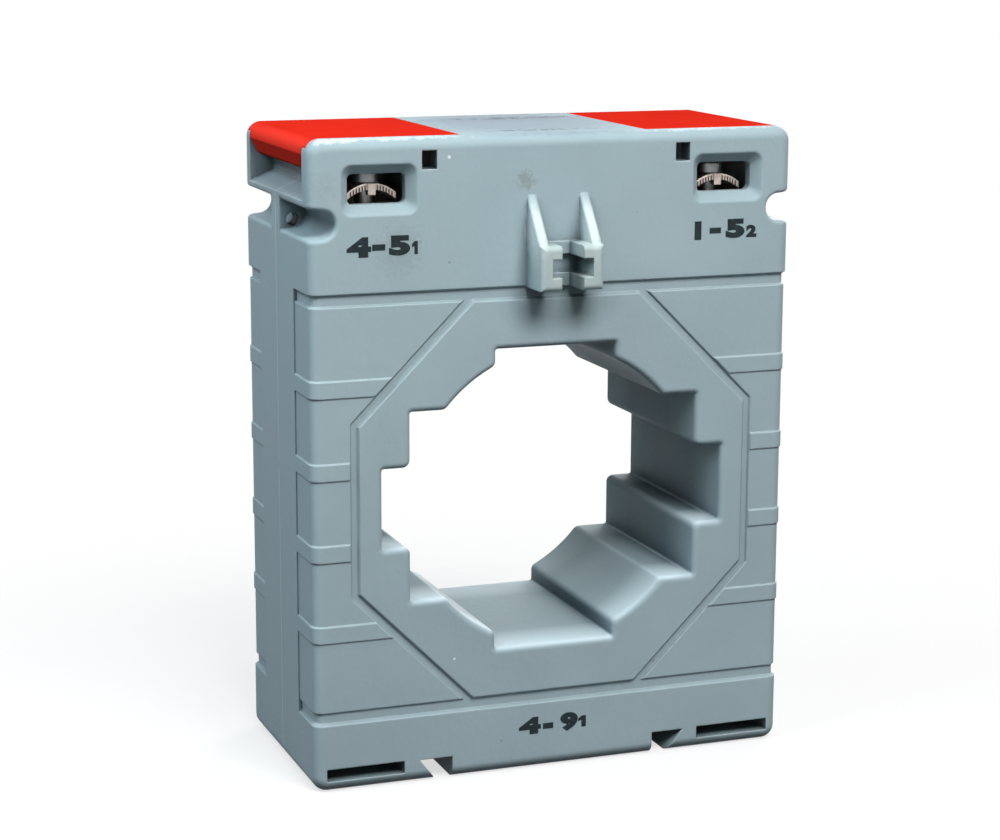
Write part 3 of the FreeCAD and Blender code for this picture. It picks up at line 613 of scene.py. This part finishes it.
def printed_mark(name, glyphs, on_rear=False):
    """Glyphs are (shape, left, bottom, width, height) in millimetres on the printed face."""
    mark = bmesh.new()
    for shape, left, bottom, width, height in glyphs:
        mesh = glyph_mesh(shape, width * MM, height * MM)
        mesh.transform(Matrix.Translation((left * MM, bottom * MM, 0)))
        mark.from_mesh(mesh)
        bpy.data.meshes.remove(mesh)
    bmesh.ops.remove_doubles(mark, verts=mark.verts, dist=1e-6)
    shape = bmesh.ops.extrude_face_region(mark, geom=mark.faces[:])
    raised = [v for v in shape["geom"] if isinstance(v, bmesh.types.BMVert)]
    bmesh.ops.translate(mark, verts=raised, vec=(0, 0, INK_THICKNESS))
    bmesh.ops.recalc_face_normals(mark, faces=mark.faces)
    bmesh.ops.triangulate(mark, faces=mark.faces)
    for face in mark.faces:
        face.smooth = False
    upright = Matrix.Rotation(math.radians(90), 4, "X")
    onto_face = Matrix.Translation((0, FRONT_FACE, 0))
    turn = Matrix.Rotation(math.radians(180 if on_rear else 0), 4, "Z")
    bmesh.ops.transform(mark, matrix=turn @ onto_face @ upright, verts=mark.verts)
    mesh = bpy.data.meshes.new(name)
    mark.to_mesh(mesh)
    mark.free()
    mesh.materials.append(black_ink)
    piece = bpy.data.objects.new(name, mesh)
    bpy.context.scene.collection.objects.link(piece)
    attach(piece, "root")
    print(name, "glyphs", len(glyphs), "faces", len(mesh.polygons))


# %% [markdown]
# The places and sizes are those of the marks in the photograph, with plain numbers
# instead. The right mark starts with an upright bar, which stands for a one.

# %% Print the marks
FOOT_PLAIN = [("4", -6.49, 6.20, 4.09, 3.06), ("bar", -2.05, 6.87, 1.92, 1.05),
              ("9", 1.18, 6.05, 3.28, 3.35)]

printed_mark("mark_left", [
    ("4", -36.67, 90.37, 4.17, 3.32), ("bar", -32.35, 91.40, 2.22, 1.02),
    ("5", -29.49, 90.47, 3.63, 3.30), ("small one", -25.57, 90.56, 1.01, 2.19)])
printed_mark("mark_right", [
    ("bar", 24.92, 90.77, 1.26, 3.16), ("bar", 27.72, 91.74, 2.13, 0.99),
    ("5", 30.72, 90.83, 3.57, 3.29), ("2", 34.58, 90.86, 1.96, 2.11)])
printed_mark("mark_foot_front", FOOT_PLAIN + [("small one", 4.53, 6.49, 1.44, 2.04)])
printed_mark("mark_foot_rear", FOOT_PLAIN + [("2", 4.55, 6.40, 1.75, 2.13)], on_rear=True)

# %% [markdown]
# The photograph has a white ground with no horizon. A pale floor takes the soft shadow
# under the case. A third of what the camera sees of it is white paint, which the shadow
# darkens, and the rest is an even white glow, so that the shadow stays light. Away from the
# case the floor fades out into the world, which is white to the camera and to
# reflections, and a dim, slightly blue sky to everything else.

# %% Floor and world
FLOOR_HALF = 0.2
FLOOR_DROP = -0.02 * MM
GLOW_SHARE = 0.66
FADE_FROM, FADE_TO = 0.06, 0.17
ground = bmesh.new()
bmesh.ops.create_grid(ground, x_segments=1, y_segments=1, size=FLOOR_HALF)
bmesh.ops.translate(ground, verts=ground.verts, vec=(0, 0, FLOOR_DROP))
floor_mesh = bpy.data.meshes.new("floor")
ground.to_mesh(floor_mesh)
ground.free()
floor = bpy.data.objects.new("floor", floor_mesh)
bpy.context.scene.collection.objects.link(floor)

floor_paint = bpy.data.materials.new("floor_paint")
floor_paint.use_nodes = True
tree = floor_paint.node_tree
tree.nodes.clear()
paint = add_node(tree, "BsdfDiffuse", {"Color": (0.9, 0.9, 0.9, 1)})
glow = add_node(tree, "Emission", {"Color": (1, 1, 1, 1), "Strength": 1.0})
white_ground = add_node(tree, "MixShader", {0: GLOW_SHARE})
link(tree, paint.outputs[0], white_ground.inputs[1])
link(tree, glow.outputs[0], white_ground.inputs[2])
bounce = add_node(tree, "BsdfDiffuse", {"Color": (0.1, 0.11, 0.12, 1)})
path = add_node(tree, "LightPath")
seen = calculate(tree, "MAXIMUM", path.outputs["Is Camera Ray"], path.outputs["Is Glossy Ray"])
surface = add_node(tree, "MixShader")
link(tree, seen, surface.inputs[0])
link(tree, bounce.outputs[0], surface.inputs[1])
link(tree, white_ground.outputs[0], surface.inputs[2])
nothing = add_node(tree, "BsdfTransparent")
from_middle = add_node(tree, "VectorMath", operation="LENGTH")
link(tree, add_node(tree, "TexCoord").outputs["Object"], from_middle.inputs[0])
faded = add_node(tree, "MixShader")
fade = remap(tree, from_middle.outputs["Value"], FADE_FROM, FADE_TO, 0.0, 1.0)
link(tree, fade, faded.inputs[0])
link(tree, surface.outputs[0], faded.inputs[1])
link(tree, nothing.outputs[0], faded.inputs[2])
link(tree, faded.outputs[0], add_node(tree, "OutputMaterial").inputs[0])
floor_mesh.materials.append(floor_paint)

SKY = (0.80, 0.88, 1.0, 1.0)
SKY_STRENGTH = 0.08
world = bpy.data.worlds.new("world")
bpy.context.scene.world = world
world.use_nodes = True
tree = world.node_tree
tree.nodes.clear()
sky = add_node(tree, "Background", {"Color": SKY, "Strength": SKY_STRENGTH})
white = add_node(tree, "Background", {"Color": (1, 1, 1, 1), "Strength": 1.0})
path = add_node(tree, "LightPath")
shown_white = calculate(
    tree, "MAXIMUM", path.outputs["Is Camera Ray"], path.outputs["Is Glossy Ray"])
shown_white = calculate(tree, "MAXIMUM", shown_white, path.outputs["Is Transmission Ray"])
mixer = add_node(tree, "MixShader")
link(tree, shown_white, mixer.inputs[0])
link(tree, sky.outputs[0], mixer.inputs[1])
link(tree, white.outputs[0], mixer.inputs[2])
link(tree, mixer.outputs[0], add_node(tree, "OutputWorld").inputs[0])
print("floor", 2 * FLOOR_HALF, "m wide, sky", SKY_STRENGTH)

# %% [markdown]
# The light in the photograph is soft and comes from above and in front: the top is the
# brightest side, the front fades a little downwards, and the left side is darker. A big
# lamp above the front gives that. A wide weak lamp beside the camera reaches into the
# funnels, so that the saddles shine in their dark compartments. A small bluish lamp at
# the left gives that side its cool tint, and a lamp behind at the right lights the two
# sides that the photograph doesn't show.

# %% Lamps
TARGET = Vector((0, 0, 0.06))


def area_lamp(name, place, size, power, colour):
    data = bpy.data.lights.new(name, "AREA")
    data.shape = "RECTANGLE"
    data.size, data.size_y = size
    data.energy = power
    data.color = colour
    lamp = bpy.data.objects.new(name, data)
    bpy.context.scene.collection.objects.link(lamp)
    lamp.location = place
    lamp.rotation_mode = "QUATERNION"
    lamp.rotation_quaternion = (TARGET - Vector(place)).to_track_quat("-Z", "Y")
    print(name, power, "W")


area_lamp("lamp_above", (0.02, -0.355, 0.445), (0.26, 0.2), 2.85, (1.0, 0.99, 0.98))
area_lamp("lamp_front", (-0.12, -0.95, 0.32), (0.5, 0.4), 0.6, (1.0, 0.99, 0.98))
area_lamp("lamp_left", (-0.25, -0.05, 0.34), (0.18, 0.18), 0.85, (0.8, 0.92, 1.0))
area_lamp("lamp_behind", (0.44, 0.44, 0.24), (0.3, 0.3), 2.7, (1.0, 0.99, 0.98))
